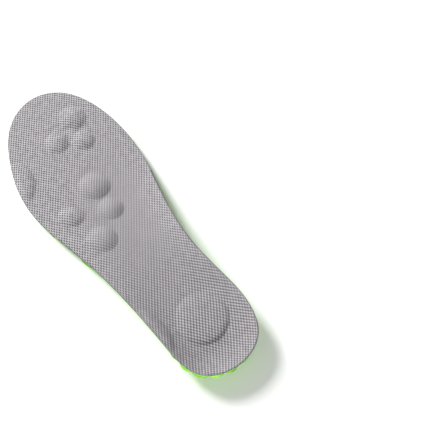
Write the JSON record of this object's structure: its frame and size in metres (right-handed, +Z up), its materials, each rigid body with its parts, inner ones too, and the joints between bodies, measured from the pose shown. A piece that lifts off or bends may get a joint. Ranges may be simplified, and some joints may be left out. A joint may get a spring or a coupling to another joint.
{
  "type": "cushioned insole",
  "caption": "Left cushioned insole: cobbled foam base with heel cup and arch support, cushion pods under a knitted cover, and a flex at the ball of the foot.",
  "frame": {"origin": "centre of the heel pad's flat sole face, on the ground plane", "axes": "+Y along the insole to the toe, +X to the inner (arch) side of the foot, +Z up through the cover"},
  "size_m": [0.0948, 0.2601, 0.025],
  "materials": {
    "cover_knit": "two-tone bird-eye knit, matte",
    "bonding_film": "dark hot-melt film, seen only as a thin line at the rim",
    "base_foam": "moulded polyurethane foam with a satin skin, lime green",
    "heel_pad_foam": "moulded foam with a satin skin, lime green",
    "pod_foam": "soft pale foam, hidden under the cover"
  },
  "bodies": {
    "rearfoot": {"foam_base_rear": "base_foam", "bonding_film_rear": "bonding_film", "knit_cover_rear": "cover_knit", "heel_pad": "heel_pad_foam", "heel_disc": "pod_foam", "heel_edge_pad": "pod_foam", "ball_pod_front": "pod_foam", "ball_pod_middle": "pod_foam", "ball_pod_outer": "pod_foam", "ball_pod_rear": "pod_foam"},
    "forefoot": {"foam_base_fore": "base_foam", "bonding_film_fore": "bonding_film", "knit_cover_fore": "cover_knit", "toe_pod_front": "pod_foam", "toe_pod_outer": "pod_foam", "toe_pod_inner": "pod_foam", "forefoot_edge_pad": "pod_foam"}
  },
  "joints": [
    {"name": "ball_flex", "type": "hinge", "parent": "rearfoot", "child": "forefoot", "pos_m": [0, 0.1373, 0.008], "axis": [0.9945, 0.1045, 0], "range_deg": [0, 75], "stiffness_Nm_per_rad": 0.06}
  ]
}
